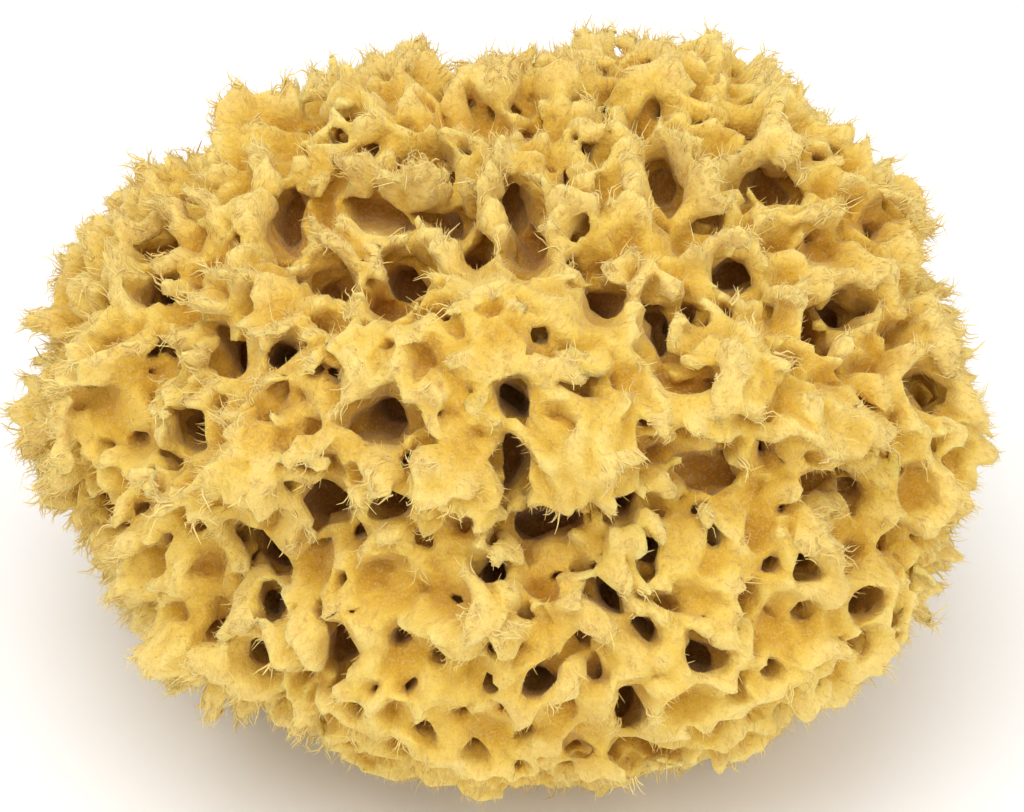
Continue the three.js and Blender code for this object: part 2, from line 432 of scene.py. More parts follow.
class Field:
    """Numbers on a regular grid around the sponge, read between grid points by blending."""

    low = np.array(frame_box[0]) / MM - GRID_MARGIN
    size = tuple(int(n) for n in np.ceil((np.array(frame_box[1]) / MM + GRID_MARGIN - low) / VOXEL) + 1)

    def __init__(self, values):
        self.values = values.astype(np.float32)

    def at(self, points):
        place = (np.asarray(points) - Field.low) / VOXEL
        place = np.clip(place, 0, np.array(Field.size) - 1.001)
        corner = place.astype(int)
        share = place - corner
        total = np.zeros(len(place))
        for step in np.ndindex(2, 2, 2):
            step = np.array(step)
            weight = np.prod(np.where(step, share, 1 - share), axis=1)
            total += weight * self.values[tuple((corner + step).T)]
        return total

    def slope(self, points, reach):
        points = np.asarray(points)
        rises = []
        for axis in np.eye(3) * reach:
            rises.append(self.at(points + axis) - self.at(points - axis))
        return np.stack(rises, axis=1) / (2 * reach)

    def softened(self, radius, passes=3):
        """A few passes of a running mean along each axis, which come close to a Gaussian."""
        half = max(1, round(radius / VOXEL))
        values = self.values.astype(np.float32)
        for axis in (0, 1, 2):
            for _ in range(passes):
                pad = [(0, 0)] * 3
                pad[axis] = (half + 1, half)
                total = np.moveaxis(np.cumsum(np.pad(values, pad, mode="edge"), axis=axis), axis, 0)
                mean = (total[2 * half + 1:] - total[:-2 * half - 1]) / (2 * half + 1)
                values = np.moveaxis(mean, 0, axis)
        return Field(values)


def grid_axes():
    return [Field.low[axis] + VOXEL * np.arange(Field.size[axis]) for axis in range(3)]


def cloud(spacing, random):
    """A smooth random field with lumps about two spacings wide, from -1 to 1."""
    coarse = random.uniform(-1, 1, [int(n * VOXEL / spacing) + 5 for n in Field.size])
    values = coarse
    for axis in range(3):
        place = np.arange(Field.size[axis]) * VOXEL / spacing + 1
        corner = place.astype(int)
        t = place - corner
        weights = [(1 - t) ** 3 / 6, (3 * t**3 - 6 * t**2 + 4) / 6,
                   (-3 * t**3 + 3 * t**2 + 3 * t + 1) / 6, t**3 / 6]
        shape = [1, 1, 1]
        shape[axis] = -1
        values = sum(
            np.take(values, corner - 1 + step, axis=axis) * weights[step].reshape(shape)
            for step in range(4)
        )
    return (values / np.abs(values).max()).astype(np.float32)


def streaks(spacing, random):
    """A smooth random field that hardly changes along the way out of the sponge, from -1 to 1."""
    fine = cloud(spacing, random)
    centred = (axis - middle for axis, middle in zip(grid_axes(), CORE))
    offsets = np.meshgrid(*centred, indexing="ij", sparse=True)
    away = np.sqrt(sum(offset**2 for offset in offsets)).astype(np.float32)
    nearer = (STREAK_SHELL + STREAK_DRIFT * away) / np.maximum(away, 1.0)
    spots = []
    for axis in range(3):
        place = (CORE[axis] + offsets[axis].astype(np.float32) * nearer - Field.low[axis]) / VOXEL
        spots.append(np.clip(np.rint(place), 0, Field.size[axis] - 1).astype(np.int32))
    return fine[tuple(spots)]


# ---- The rounded skin, from the frame's solid ----

def distance(points, band, **faces):
    """Signed distance to a closed mesh, in voxels, up to band on each side."""
    grid = openvdb.FloatGrid.createLevelSetFromPolygons(
        points, transform=openvdb.createLinearTransform(1.0), halfWidth=band, **faces)
    values = np.full(Field.size, band, np.float32)
    grid.copyToArray(values)
    return grid, values


def closed_frame():
    """Signed distance to the frame's solid with its canals closed, in millimetres."""
    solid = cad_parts["sponge"].data
    points = np.empty(len(solid.vertices) * 3, np.float32)
    solid.vertices.foreach_get("co", points)
    points = ((points.reshape(-1, 3) / MM - Field.low) / VOXEL).astype(np.float32)
    solid.calc_loop_triangles()
    corners = np.empty(len(solid.loop_triangles) * 3, np.uint32)
    solid.loop_triangles.foreach_get("vertices", corners)
    closing = CANAL_CLOSING / VOXEL
    grid, _ = distance(points, closing + 3, triangles=corners.reshape(-1, 3))
    points, _, quads = grid.convertToPolygons(isovalue=closing, adaptivity=0.0)
    _, values = distance(points, DEEPEST / VOXEL, quads=quads)
    return Field(values * VOXEL + CANAL_CLOSING)


def skin_points(skin, count):
    """Points spread evenly over the skin, with the directions that face out of it."""
    spot = np.arange(count)
    height = 1 - 2 * (spot + 0.5) / count
    turn = spot * math.pi * (3 - math.sqrt(5))
    across = np.sqrt(1 - height**2)
    outward = np.stack([across * np.cos(turn), across * np.sin(turn), height], axis=1)
    return reach_skin(skin, outward)


def reach_skin(skin, outward):
    steps = np.arange(15.0, 105.0, 0.5)
    path = CORE + outward[:, None, :] * steps[None, :, None]
    inside = skin.at(path.reshape(-1, 3)).reshape(len(outward), -1) < 0
    last = len(steps) - 1 - np.argmax(inside[:, ::-1], axis=1)
    points = CORE + outward * steps[last][:, None]
    points = points - unit(skin.slope(points, 1.5)) * skin.at(points)[:, None]
    return points, unit(skin.slope(points, 3.0))


# ---- Pores ----

class Carver:
    """Gathers pores as one field: below zero inside a pore."""

    def __init__(self):
        self.hollow = np.full(Field.size, 30.0, np.float32)
        self.axes = grid_axes()

    def pore(self, mouth, inward, radius, depth, stretch, roll, flare, bend, taper, lead):
        """One tapered, slightly bent tube with a round end. Its mouth widens outwards by flare per mm."""
        inward = inward / np.linalg.norm(inward)
        level = np.cross((0.0, 0.0, 1.0), -inward)
        level = level / max(np.linalg.norm(level), 1e-6)
        upright = np.cross(level, -inward)
        turn = math.radians(roll)
        wide = level * math.cos(turn) + upright * math.sin(turn)
        narrow = upright * math.cos(turn) - level * math.sin(turn)
        start, end = mouth - inward * lead, mouth + inward * depth
        room = radius * stretch * (1 + flare * lead) + 2.5 + max(abs(bend[0]), abs(bend[1])) * depth**2
        first = np.maximum(((np.minimum(start, end) - room - Field.low) / VOXEL).astype(int), 0)
        last = np.minimum(((np.maximum(start, end) + room - Field.low) / VOXEL).astype(int) + 2, Field.size)
        if np.any(first >= last):
            return
        x, y, z = (self.axes[axis][first[axis]:last[axis]] - mouth[axis] for axis in range(3))
        along = self._dot(x, y, z, inward)
        inside = np.clip(along, 0.0, depth)
        across = self._dot(x, y, z, wide) - bend[0] * inside**2
        up = self._dot(x, y, z, narrow) - bend[1] * inside**2
        thick = radius * (1.0 + flare * np.maximum(-along, 0.0) - taper * inside / depth)
        past = np.maximum(along - (depth - radius * (1 - taper)), 0.0)
        away = np.sqrt((across / stretch) ** 2 + up**2 + past**2) - thick
        window = self.hollow[first[0]:last[0], first[1]:last[1], first[2]:last[2]]
        blend = np.maximum(WALL_ROUNDING - np.abs(window - away), 0.0) / WALL_ROUNDING
        window[...] = np.minimum(window, away) - blend * blend * WALL_ROUNDING * 0.25

    @staticmethod
    def _dot(x, y, z, direction):
        return (x[:, None, None] * direction[0] + y[None, :, None] * direction[1]
                + z[None, None, :] * direction[2]).astype(np.float32)


def side_canals():
    listed = np.array([towards(azimuth, elevation) for azimuth, elevation, *_ in FRONT_CANALS])
    canals = []
    for spot in range(SIDE_SPOTS):
        elevation = math.degrees(math.asin(1 - 2 * (spot + 0.5) / SIDE_SPOTS))
        azimuth = (spot * 137.508) % 360 - 180
        nearest = math.degrees(math.acos(min(1.0, np.max(listed @ towards(azimuth, elevation)))))
        seen = SIDE_LOWEST < elevation < SIDE_HIGHEST
        if seen and nearest > SIDE_ROOM and abs(azimuth) > SIDE_FROM_AZIMUTH:
            radius = between(SIDE_RADIUS, scatter(spot + 100))
            depth = between(SIDE_DEPTH, scatter(spot + 200))
            stretch = between(SIDE_STRETCH, scatter(spot + 300))
            canals.append((azimuth, elevation, radius, depth, stretch, 180 * scatter(spot + 400)))
    return canals


def calmness(x, y, z):
    """1 on the smooth lower front and the trimmed lip, 0 on the tufted rest."""
    lower = 1 - smoothstep(z, *CALM_BELOW)
    to_right = sum(share * smoothstep(x, low, high) for low, high, share in CALM_FROM_LEFT)
    lip = 1 - smoothstep(z, *LIP_BELOW)
    return np.maximum(lower * (smoothstep(-y, *CALM_FROM_FRONT) * to_right), lip * CALM_LIP)


class Crowd:
    """Pores kept so far, so that a new one can be tested for room."""

    def __init__(self, most=20000):
        self.places = np.zeros((most, 3))
        self.radii = np.zeros(most)
        self.count = 0

    def has_room(self, place, radius, wall):
        kept = slice(0, self.count)
        room = self.radii[kept] + radius + wall
        return not np.any(np.sum((self.places[kept] - place) ** 2, axis=1) < room * room)

    def add(self, place, radius):
        self.places[self.count] = place
        self.radii[self.count] = radius
        self.count += 1


def carve_canals(carver, crowd, skin, random):
    canals = FRONT_CANALS + LIP_HOLLOWS + side_canals()
    outward = np.array([towards(azimuth, elevation) for azimuth, elevation, *_ in canals])
    mouths, normals = reach_skin(skin, outward)
    facing = FRONT_SHARE * smoothstep(normals @ FRONT_FACING, 0.1, 0.45)
    for number, (mouth, (_, _, radius, depth, stretch, roll)) in enumerate(zip(mouths, canals)):
        bend = random.uniform(-CANAL_BEND, CANAL_BEND, 2)
        share = facing[number] if number < len(FRONT_CANALS) else 0.0
        inward = (1 - share) * unit(HEART - mouth) - share * FRONT_FACING
        throat = CANAL_THROAT[0] + CANAL_THROAT[1] * radius
        carver.pore(mouth, inward, throat, min(depth, CANAL_DEEPEST), stretch, roll, CANAL_FLARE, bend,
                    CANAL_TAPER, CANAL_LEAD)
        crowd.add(mouth, throat * stretch**0.5 * CROWDED_CANAL)


def carve_pores(carver, crowd, points, normals, calm, random):
    cups = Crowd()
    for tufted, quiet, layers in zip(TUFTED_PORES, CALM_PORES, PORE_LAYERS):
        share = random.uniform(0, 1, len(points))
        radii = (1 - calm) * between(tufted["radius"], share) + calm * between(quiet["radius"], share)
        walls = (1 - calm) * tufted["wall"] + calm * quiet["wall"]
        for layer in layers:
            for at in random.permutation(len(points)):
                place = points[at] - normals[at] * layer
                if not crowd.has_room(place, radii[at], walls[at]):
                    continue
                is_calm = calm[at] > 0.5
                if is_calm and layer > 0:
                    continue
                is_cup = is_calm and tufted is TUFTED_PORES[0]
                if is_cup and not cups.has_room(place, radii[at], walls[at]):
                    continue
                (cups if is_cup else crowd).add(place, radii[at])
                kind = quiet if is_calm else tufted
                tilt = random.normal(0, (CALM_TILT if is_calm else TUFTED_TILT) + DEEP_TILT * layer, 3)
                depth = max(radii[at] * random.uniform(*kind["depth"]), SHALLOWEST_PORE)
                roll = random.uniform(0, 180) if is_calm else random.normal(*TUFTED_ROLL)
                carver.pore(place, tilt - normals[at], radii[at], depth, random.uniform(*PORE_STRETCH), roll,
                            kind["flare"] if layer == 0 else 0.0, random.uniform(-PORE_BEND, PORE_BEND, 2),
                            PORE_TAPER, lead=PORE_LEAD if layer == 0 else radii[at])


def carve_wall_holes(carver, points, normals, random):
    for at in random.choice(len(points), WALL_HOLES, replace=False):
        sideways = unit(np.cross(normals[at], random.normal(0, 1, 3)))
        start = points[at] - normals[at] * random.uniform(*WALL_HOLE_SINK)
        carver.pore(start, sideways - 0.3 * normals[at], random.uniform(*WALL_HOLE_RADIUS),
                    random.uniform(*WALL_HOLE_LENGTH), random.uniform(*WALL_HOLE_STRETCH),
                    random.uniform(0, 180), 0.0, (0, 0), WALL_HOLE_TAPER, WALL_HOLE_LEAD)


def carve_skeleton(skin, lumps):
    random = np.random.default_rng(11)
    carver, crowd = Carver(), Crowd()
    for lump in lumps:
        crowd.add(lump, WHOLE_LUMP)
    carve_canals(carver, crowd, skin, random)
    points, normals = skin_points(skin, PORE_PLACES)
    above = points[:, 2] > LOWEST_PORE
    points, normals = points[above], normals[above]
    carve_pores(carver, crowd, points, normals, calmness(*points.T), random)
    carve_wall_holes(carver, points, normals, random)
    return carver.hollow


def swell(skin, swellings):
    """Raises or sinks the skin around each listed foot. Returns the feet."""
    outward = np.array([towards(azimuth, elevation) for azimuth, elevation, *_ in swellings])
    feet, _ = reach_skin(skin, outward)
    x, y, z = np.meshgrid(*grid_axes(), indexing="ij", sparse=True)
    for foot, (_, _, spread, height) in zip(feet, swellings):
        away = ((x - foot[0]) ** 2 + (y - foot[1]) ** 2 + (z - foot[2]) ** 2) / spread**2
        skin.values -= (height * np.exp(-0.5 * away)).astype(np.float32)
    return feet


def skeleton_field():
    """The rounded skin, and the sponge itself as a field that is below zero inside it."""
    random = np.random.default_rng(5)
    skin = closed_frame()
    skin = skin.softened(SKIN_SOFTENING)
    x, y, z = np.meshgrid(*grid_axes(), indexing="ij", sparse=True)
    above_lip = smoothstep(z, 1.0, CUT_LIP).astype(np.float32)
    swell(skin, OUTLINE)
    skin.values -= (LUMP_HEIGHT * cloud(LUMP_SPACING, random) - SKIN_SINK) * above_lip
    feet = swell(skin, TUFTED_LUMPS)
    tall = [foot for foot, lump in zip(feet, TUFTED_LUMPS) if lump[3] >= TALL_LUMP]
    hollow = carve_skeleton(skin, tall)
    calm = calmness(x, y, z).astype(np.float32)
    frays = streaks(FRAY_SPACING, random) * between((1, CALM_FRAYS), calm) * above_lip
    tips = sum(share * cloud(spacing, random) for spacing, share in RAGGED_CLOUDS)
    ragged = TUFT_RAGGEDNESS * tips * between((1, CALM_RAGGEDNESS), calm) + FRAY_HEIGHT * frays
    rise = np.maximum(skin.values + ragged, 0.0)
    walls = TUFT_TAPER * rise * between((1, CALM_TAPER), calm) - hollow
    walls += FRAY_RELIEF * frays * smoothstep(skin.values, *FRAYED_SKIN)
    reach = TUFT_REACH * between((1, CALM_RAGGEDNESS), calm) * above_lip
    outer = skin.values - reach + TIP_RAGGEDNESS * ragged
    body = smooth_max(outer, walls, between((TUFT_ROUNDING, CALM_ROUNDING), calm))
    body = Field(body).softened(VOXEL, passes=1).values + GRAIN_HEIGHT * cloud(GRAIN_SPACING, random)
    return skin, Field(np.maximum(body, -z))


# ---- Meshes ----

def mesh_object(name, points, faces):
    mesh = bpy.data.meshes.new(name)
    sides = faces.shape[1]
    mesh.vertices.add(len(points))
    mesh.vertices.foreach_set("co", np.ascontiguousarray(points, np.float32).ravel())
    mesh.loops.add(faces.size)
    mesh.loops.foreach_set("vertex_index", np.ascontiguousarray(faces, np.int32).ravel())
    mesh.polygons.add(len(faces))
    mesh.polygons.foreach_set("loop_start", np.arange(0, faces.size, sides, dtype=np.int32))
    mesh.update(calc_edges=True)
    thing = bpy.data.objects.new(name, mesh)
    bpy.context.scene.collection.objects.link(thing)
    return thing


def largest_shell(points, quads):
    """Drops the crumbs that the pores leave loose."""
    label = np.arange(len(points))
    while True:
        lowest = label[quads].min(axis=1)
        before = label.copy()
        for corner in range(4):
            np.minimum.at(label, quads[:, corner], lowest)
        label = label[label]
        label = label[label]
        if np.array_equal(label, before):
            break
    names, sizes = np.unique(label, return_counts=True)
    body = label == names[np.argmax(sizes)]
    kept = body[quads[:, 0]]
    index = np.cumsum(body) - 1
    return points[body], index[quads[kept]]


def polygonise(body):
    grid = openvdb.FloatGrid(30.0)
    grid.copyFromArray(body.values)
    points, triangles, quads = grid.convertToPolygons(isovalue=0.0, adaptivity=0.0)
    points, quads = largest_shell(np.array(points, np.float64), np.array(quads, np.int64))
    points = points * VOXEL + Field.low
    points[:, 2] = np.maximum(points[:, 2], 0.0)
    return points, quads


def thinned(thing, triangles):
    """Collapses edges down to a triangle count and returns the plain mesh."""
    count = len(thing.data.polygons) * 2
    collapse = thing.modifiers.new("collapse", "DECIMATE")
    collapse.ratio = min(1.0, triangles / count)
    bpy.context.view_layer.update()
    result = bpy.data.meshes.new_from_object(thing.evaluated_get(bpy.context.evaluated_depsgraph_get()))
    thing.modifiers.clear()
    thing.data = result
    return thing


# ---- Skeleton ----

def coordinates(thing):
    points = np.empty(len(thing.data.vertices) * 3)
    thing.data.vertices.foreach_get("co", points)
    return points.reshape(-1, 3) / MM


def note(thing, name, values, kind="FLOAT"):
    """Stores one number or vector on each point of a mesh."""
    attribute = thing.data.attributes.new(name, kind, "POINT")
    field = "value" if kind == "FLOAT" else "vector"
    attribute.data.foreach_set(field, np.ascontiguousarray(values, np.float32).ravel())


def note_shelter(skeleton, skin, body):
    """How deep each point lies, how much sponge is around it, and which way out is."""
    points = coordinates(skeleton)
    filled = Field(np.clip(0.5 - body.values / (2 * VOXEL), 0, 1))
    near = filled.softened(NEAR)
    wide = filled.softened(WIDE)
    outline = filled.softened(TUFT_WIDTH)
    note(skeleton, "depth", -skin.at(points))
    note(skeleton, "near", near.at(points))
    note(skeleton, "wide", wide.at(points))
    note(skeleton, "sprout", unit(-outline.slope(points, 1.5)), "FLOAT_VECTOR")


def uneven_growth():
    """Sways the mesh so that no canal stays round, and lets the front tufts hang a little."""
    tree = Tree("uneven growth", Broad_Size=0.016, Broad_Sway=0.0034, Fine_Size=0.0055, Fine_Sway=0.0014,
                Droop=0.0030, Tuft_Height=6.0, Cut_Fade=0.009)
    position = tree.add("GeometryNodeInputPosition")
    sway = None
    for size, amount in (("Broad_Size", "Broad_Sway"), ("Fine_Size", "Fine_Sway")):
        noise = tree.add("ShaderNodeTexNoise", {"noise_dimensions": "3D"}, {
            "Vector": position, "Scale": 1 / tree.given(size), "Detail": 1.0}, out="Color")
        centred = tree.add("ShaderNodeVectorMath", {"operation": "SUBTRACT"}, {
            0: noise, 1: (0.5, 0.5, 0.5)})
        moved = tree.add("ShaderNodeVectorMath", {"operation": "SCALE"}, {
            0: centred, "Scale": tree.given(amount) * 2})
        sway = moved if sway is None else sway + moved
    place = tree.add("ShaderNodeSeparateXYZ", None, {0: position})
    height, depth = place.output("Z"), place.output("Y")
    tip = (tree.attribute("depth") * -1.0).step(0.0, tree.given("Tuft_Height"))
    front = depth.step(0.0, -0.045)
    hang = tip * front * tree.given("Droop") * -1.0
    down = tree.add("ShaderNodeCombineXYZ", None, {"X": 0.0, "Y": 0.0, "Z": hang})
    fade = tree.add("ShaderNodeMath", {"operation": "MINIMUM"}, {
        0: height / tree.given("Cut_Fade"), 1: 1.0})
    offset = tree.add("ShaderNodeVectorMath", {"operation": "SCALE"}, {0: sway + down, "Scale": fade})
    moved = tree.add("GeometryNodeSetPosition", None, {"Geometry": Wire(tree, tree.source.outputs[0]),
                                                       "Offset": offset})
    smooth = tree.add("GeometryNodeSetShadeSmooth", None, {"Geometry": moved})
    return tree, smooth


def build_skeleton(material):
    skin, body = skeleton_field()
    points, quads = polygonise(body)
    rough = thinned(mesh_object("carved", points * MM, quads), BODY_TRIANGLES)
    note_shelter(rough, skin, body)
    tree, result = uneven_growth()
    tree.end(result, material)
    skeleton = tree.grow("skeleton", rough)
    bpy.data.objects.remove(rough)
    return skeleton


# ---- Strands ----

def strand_shapes(tree, kinds, strands, sides, joints):
    """Small bundles of curly tapered strands, one unit long, standing on Z, as instances to pick from."""
    join = tree.tree.nodes.new("GeometryNodeJoinGeometry")
    for kind in range(kinds):
        bundle = tree.tree.nodes.new("GeometryNodeJoinGeometry")
        for strand in range(strands):
            tube = strand_shape(tree, kind * strands + strand, strands > 1, sides, joints)
            tree.tree.links.new(tube.socket, bundle.inputs[0])
        whole = Wire(tree, bundle.outputs[0])
        shape = tree.add("GeometryNodeGeometryToInstance", None, {"Geometry": whole})
        tree.tree.links.new(shape.socket, join.inputs[0])
    return Wire(tree, join.outputs[0])


def strand_shape(tree, number, fanned, sides, joints):
    """One strand. In a bundle it starts a little aside and leans out."""
    turn = 2.4 * number
    side = Vector((math.cos(turn), math.sin(turn), 0.0))
    lean = 0.05 + 0.35 * scatter(number + 3) if fanned else 0.1
    reach = 0.55 + 0.45 * scatter(number + 7)
    root = side * (0.10 if fanned else 0.0) - Vector((0, 0, 0.15))
    tip = root + side * lean * reach + Vector((0, 0, reach + 0.15))
    line = tree.add("GeometryNodeCurvePrimitiveLine", None, {"Start": root, "End": tip})
    curve = tree.add("GeometryNodeResampleCurve", None, {"Curve": line, "Count": joints})
    along = tree.add("GeometryNodeSplineParameter", None, None)
    curl = along * along * (0.15 + 0.50 * scatter(number + 11))
    twist = 1.5 + 3.5 * scatter(number + 21)
    phase = 6.3 * scatter(number + 31)
    wave_x = tree.add("ShaderNodeMath", {"operation": "SINE"}, {0: along * twist + phase})
    wave_y = tree.add("ShaderNodeMath", {"operation": "COSINE"}, {0: along * (twist * 0.8) + phase})
    sag = along * along * (-0.25 * scatter(number + 51))
    offset = tree.add("ShaderNodeCombineXYZ", None, {"X": wave_x * curl, "Y": wave_y * curl, "Z": sag})
    bent = tree.add("GeometryNodeSetPosition", None, {"Geometry": curve, "Offset": offset})
    thickness = (1.0 - along * 0.8) * tree.given("Thickness") / tree.given("Length")
    ring = tree.add("GeometryNodeCurvePrimitiveCircle", None, {"Resolution": sides, "Radius": 0.5})
    if fanned and number % 2:
        ring = tree.add("GeometryNodeTransform", None, {"Geometry": ring, "Scale": (2.0, 0.7, 1.0)})
    marked = tree.add("GeometryNodeStoreNamedAttribute", {"data_type": "FLOAT", "domain": "POINT"}, {
        "Geometry": bent, "Name": "along", "Value": along})
    around = tree.add("GeometryNodeSplineParameter", None, None)
    ring_marked = tree.add("GeometryNodeStoreNamedAttribute", {"data_type": "FLOAT", "domain": "POINT"}, {
        "Geometry": ring, "Name": "around", "Value": around})
    return tree.add("GeometryNodeCurveToMesh", None, {
        "Curve": marked, "Profile Curve": ring_marked, "Scale": thickness, "Fill Caps": False})


def strand_tree(name, material, kinds=8, strands=4, sides=3, joints=5, **inputs):
    """Strands that grow out of the skeleton where it is thin, along the way that the tuft points."""
    tree = Tree(name, **inputs)
    source = Wire(tree, tree.source.outputs[0])
    near, depth = tree.attribute("near"), tree.attribute("depth")
    height = tree.add("ShaderNodeSeparateXYZ", None, {0: tree.add("GeometryNodeInputPosition")}).output("Z")
    thin = near.step(tree.given("Thick_Wall"), tree.given("Thin_Wall"))
    outer = depth.step(tree.given("Deepest"), tree.given("Deepest") - 5.0)
    clear = height.step(0.002, 0.012)
    points = tree.add("GeometryNodeDistributePointsOnFaces", {"distribute_method": "POISSON"}, {
        "Mesh": source, "Distance Min": tree.given("Apart"), "Density Max": tree.given("Density"),
        "Density Factor": thin * thin * outer * clear, "Seed": tree.given("Seed")})
    outward, upright = tree.attribute("sprout", "FLOAT_VECTOR"), points.output("Normal")
    facing = tree.add("ShaderNodeVectorMath", {"operation": "DOT_PRODUCT"}, {
        0: outward, 1: upright}, out="Value")
    aside = tree.add("ShaderNodeVectorMath", {"operation": "SCALE"}, {0: upright, "Scale": facing * -1.0})
    combed = tree.add("ShaderNodeVectorMath", {"operation": "SCALE"}, {
        0: outward + aside, "Scale": tree.given("Comb")})

    def chance(low, high, salt, kind="FLOAT"):
        node = tree.add("FunctionNodeRandomValue", {"data_type": kind}, {"Seed": tree.given("Seed") + salt})
        slot = {"FLOAT": (2, 3, 1), "FLOAT_VECTOR": (0, 1, 0)}[kind]
        node.socket.node.inputs[slot[0]].default_value = low
        node.socket.node.inputs[slot[1]].default_value = high
        return Wire(tree, node.socket.node.outputs[slot[2]])

    lean = tree.add("ShaderNodeVectorMath", {"operation": "SCALE"}, {
        0: chance((-1, -1, -1), (1, 1, 1), 1, "FLOAT_VECTOR"), "Scale": tree.given("Lean")})
    pull = tree.add("ShaderNodeCombineXYZ", None, {"X": 0.0, "Y": 0.0, "Z": tree.given("Hang") * -1.0})
    heading = outward + combed - upright * 0.25 + lean + pull
    aligned = tree.add("FunctionNodeAlignRotationToVector", {"axis": "Z"}, {"Vector": heading})
    spin = tree.add("ShaderNodeCombineXYZ", None, {"X": 0.0, "Y": 0.0, "Z": chance(0.0, 6.28, 2)})
    turned = tree.add("FunctionNodeRotateRotation", {"rotation_space": "LOCAL"}, {
        "Rotation": aligned, "Rotate By": spin})
    size = tree.given("Length") * chance(0.45, 1.3, 3)
    shapes = strand_shapes(tree, kinds, strands, sides, joints)
    placed = tree.add("GeometryNodeInstanceOnPoints", None, {
        "Points": points, "Instance": shapes, "Pick Instance": True, "Rotation": turned, "Scale": size})
    toned = tree.add("GeometryNodeStoreNamedAttribute", {"data_type": "FLOAT", "domain": "INSTANCE"}, {
        "Geometry": placed, "Name": "tone", "Value": chance(0.0, 1.0, 4)})
    real = tree.add("GeometryNodeRealizeInstances", None, {"Geometry": toned})
    spot = tree.add("GeometryNodeInputPosition")
    place = tree.add("ShaderNodeSeparateXYZ", None, {0: spot})
    lifted = tree.add("ShaderNodeMath", {"operation": "MAXIMUM"}, {0: place.output("Z"), 1: 0.0003})
    above = tree.add("ShaderNodeCombineXYZ", None, {
        "X": place.output("X"), "Y": place.output("Y"), "Z": lifted})
    real = tree.add("GeometryNodeSetPosition", None, {"Geometry": real, "Position": above})
    across = tree.attribute("tone") * 0.96 + tree.attribute("around") * 0.03
    place = tree.add("ShaderNodeCombineXYZ", None, {
        "X": across, "Y": tree.attribute("along") * 0.98 + 0.01, "Z": 0.0})
    mapped = tree.add("GeometryNodeStoreNamedAttribute", {"data_type": "FLOAT2", "domain": "CORNER"}, {
        "Geometry": real, "Name": "OFBake", "Value": place})
    smooth = tree.add("GeometryNodeSetShadeSmooth", None, {"Geometry": mapped})
    tree.end(smooth, material)
    return tree


# ---- Finishes ----

def colour(red, green, blue):
    """A colour as a dyer reads it, 0 to 255 a channel, as the linear numbers that a shader takes."""
    def linear(level):
        level /= 255.0
        return level / 12.92 if level <= 0.04045 else ((level + 0.055) / 1.055) ** 2.4
    return (linear(red), linear(green), linear(blue))


# How sheltered a place is and its colour, from the free rims in to the sheltered walls: the sponge's golden
# tone with painted shade, darker and deeper gold where more sponge surrounds a place.
SHADED_WALL_TONES = (
    (0.24, (240, 212, 124)),
    (0.35, (232, 198, 90)),
    (0.46, (218, 175, 58)),
    (0.58, (202, 152, 36)),
    (0.72, (183, 128, 30)),
)


def new_finish(name):
    material = bpy.data.materials.new(name)
    material.use_nodes = True
    return material, Bench(material.node_tree), material.node_tree.nodes["Principled BSDF"]


def noted(bench, name):
    return bench.add("ShaderNodeAttribute", {"attribute_name": name}, out="Fac")


def mottle(bench, where, size, detail=3.0, rough=0.55):
    return bench.add("ShaderNodeTexNoise", {"noise_dimensions": "3D"}, {
        "Vector": where, "Scale": 1 / size, "Detail": detail, "Roughness": rough})


def wall_colour_and_shade(bench, where, grain):
    """Pale on free rims, golden on walls, brown down in the canals: painted shade over the sponge's golden
    tone, darker with shelter and with depth under the skin.
    """
    patches, broad = mottle(bench, where, 0.005, 2.0), mottle(bench, where, 0.022, 1.0)
    near, wide, depth = (noted(bench, name) for name in ("near", "wide", "depth"))
    # Painted shade: the more sponge lies around a place, the darker and more golden its colour.
    shelter = near * 0.45 + wide * 0.55 + (patches - 0.5) * 0.16 + (grain - 0.5) * 0.10
    stops = [(place, colour(*tone)) for place, tone in SHADED_WALL_TONES]
    walls = bench.add("ShaderNodeValToRGB", {"stops": stops}, {"Fac": shelter})
    # Painted shade in the canals: browner with depth under the skin, where little light reaches.
    canal_shade = bench.mix(depth.step(5.0, 20.0) * 0.85, walls, (*colour(186, 122, 62), 1))
    return bench.mix(broad.step(0.45, 0.7) * 0.2, canal_shade, (*colour(214, 160, 54), 1))


def skeleton_finish():
    material, bench, shader = new_finish("sponge skeleton")
    where = bench.add("ShaderNodeTexCoord", out="Object")
    grain, fuzz = mottle(bench, where, 0.0011, 3.0, 0.7), mottle(bench, where, 0.0004, 1.0, 0.6)
    walls = wall_colour_and_shade(bench, where, grain)
    flecks = (fuzz * 0.5 + grain * 0.5 - 0.45).step(0.0, 0.25) * 0.30
    pale = bench.mix(flecks, walls, (*colour(246, 226, 164), 1))
    tone = bench.mix((0.42 - fuzz).step(0.0, 0.2) * 0.2, pale, (*colour(190, 136, 44), 1))
    bench.tree.links.new(tone.socket, shader.inputs["Base Color"])
    rough = 0.80 + grain * 0.2
    bench.tree.links.new(rough.socket, shader.inputs["Roughness"])
    felt = grain + mottle(bench, where, 0.0028, 1.0) * 1.2
    bump = bench.add("ShaderNodeBump", None, {"Height": felt, "Strength": 0.8, "Distance": 0.0008})
    bench.tree.links.new(bump.socket, shader.inputs["Normal"])
    shader.inputs["Subsurface Weight"].default_value = 0.5
    shader.inputs["Subsurface Radius"].default_value = (1.0, 0.82, 0.36)
    shader.inputs["Subsurface Scale"].default_value = 0.0018
    shader.inputs["Specular IOR Level"].default_value = 0.25
    shader.inputs["Sheen Weight"].default_value = 0.32
    shader.inputs["Sheen Roughness"].default_value = 0.5
    shader.inputs["Sheen Tint"].default_value = (*colour(255, 240, 200), 1)
    return material


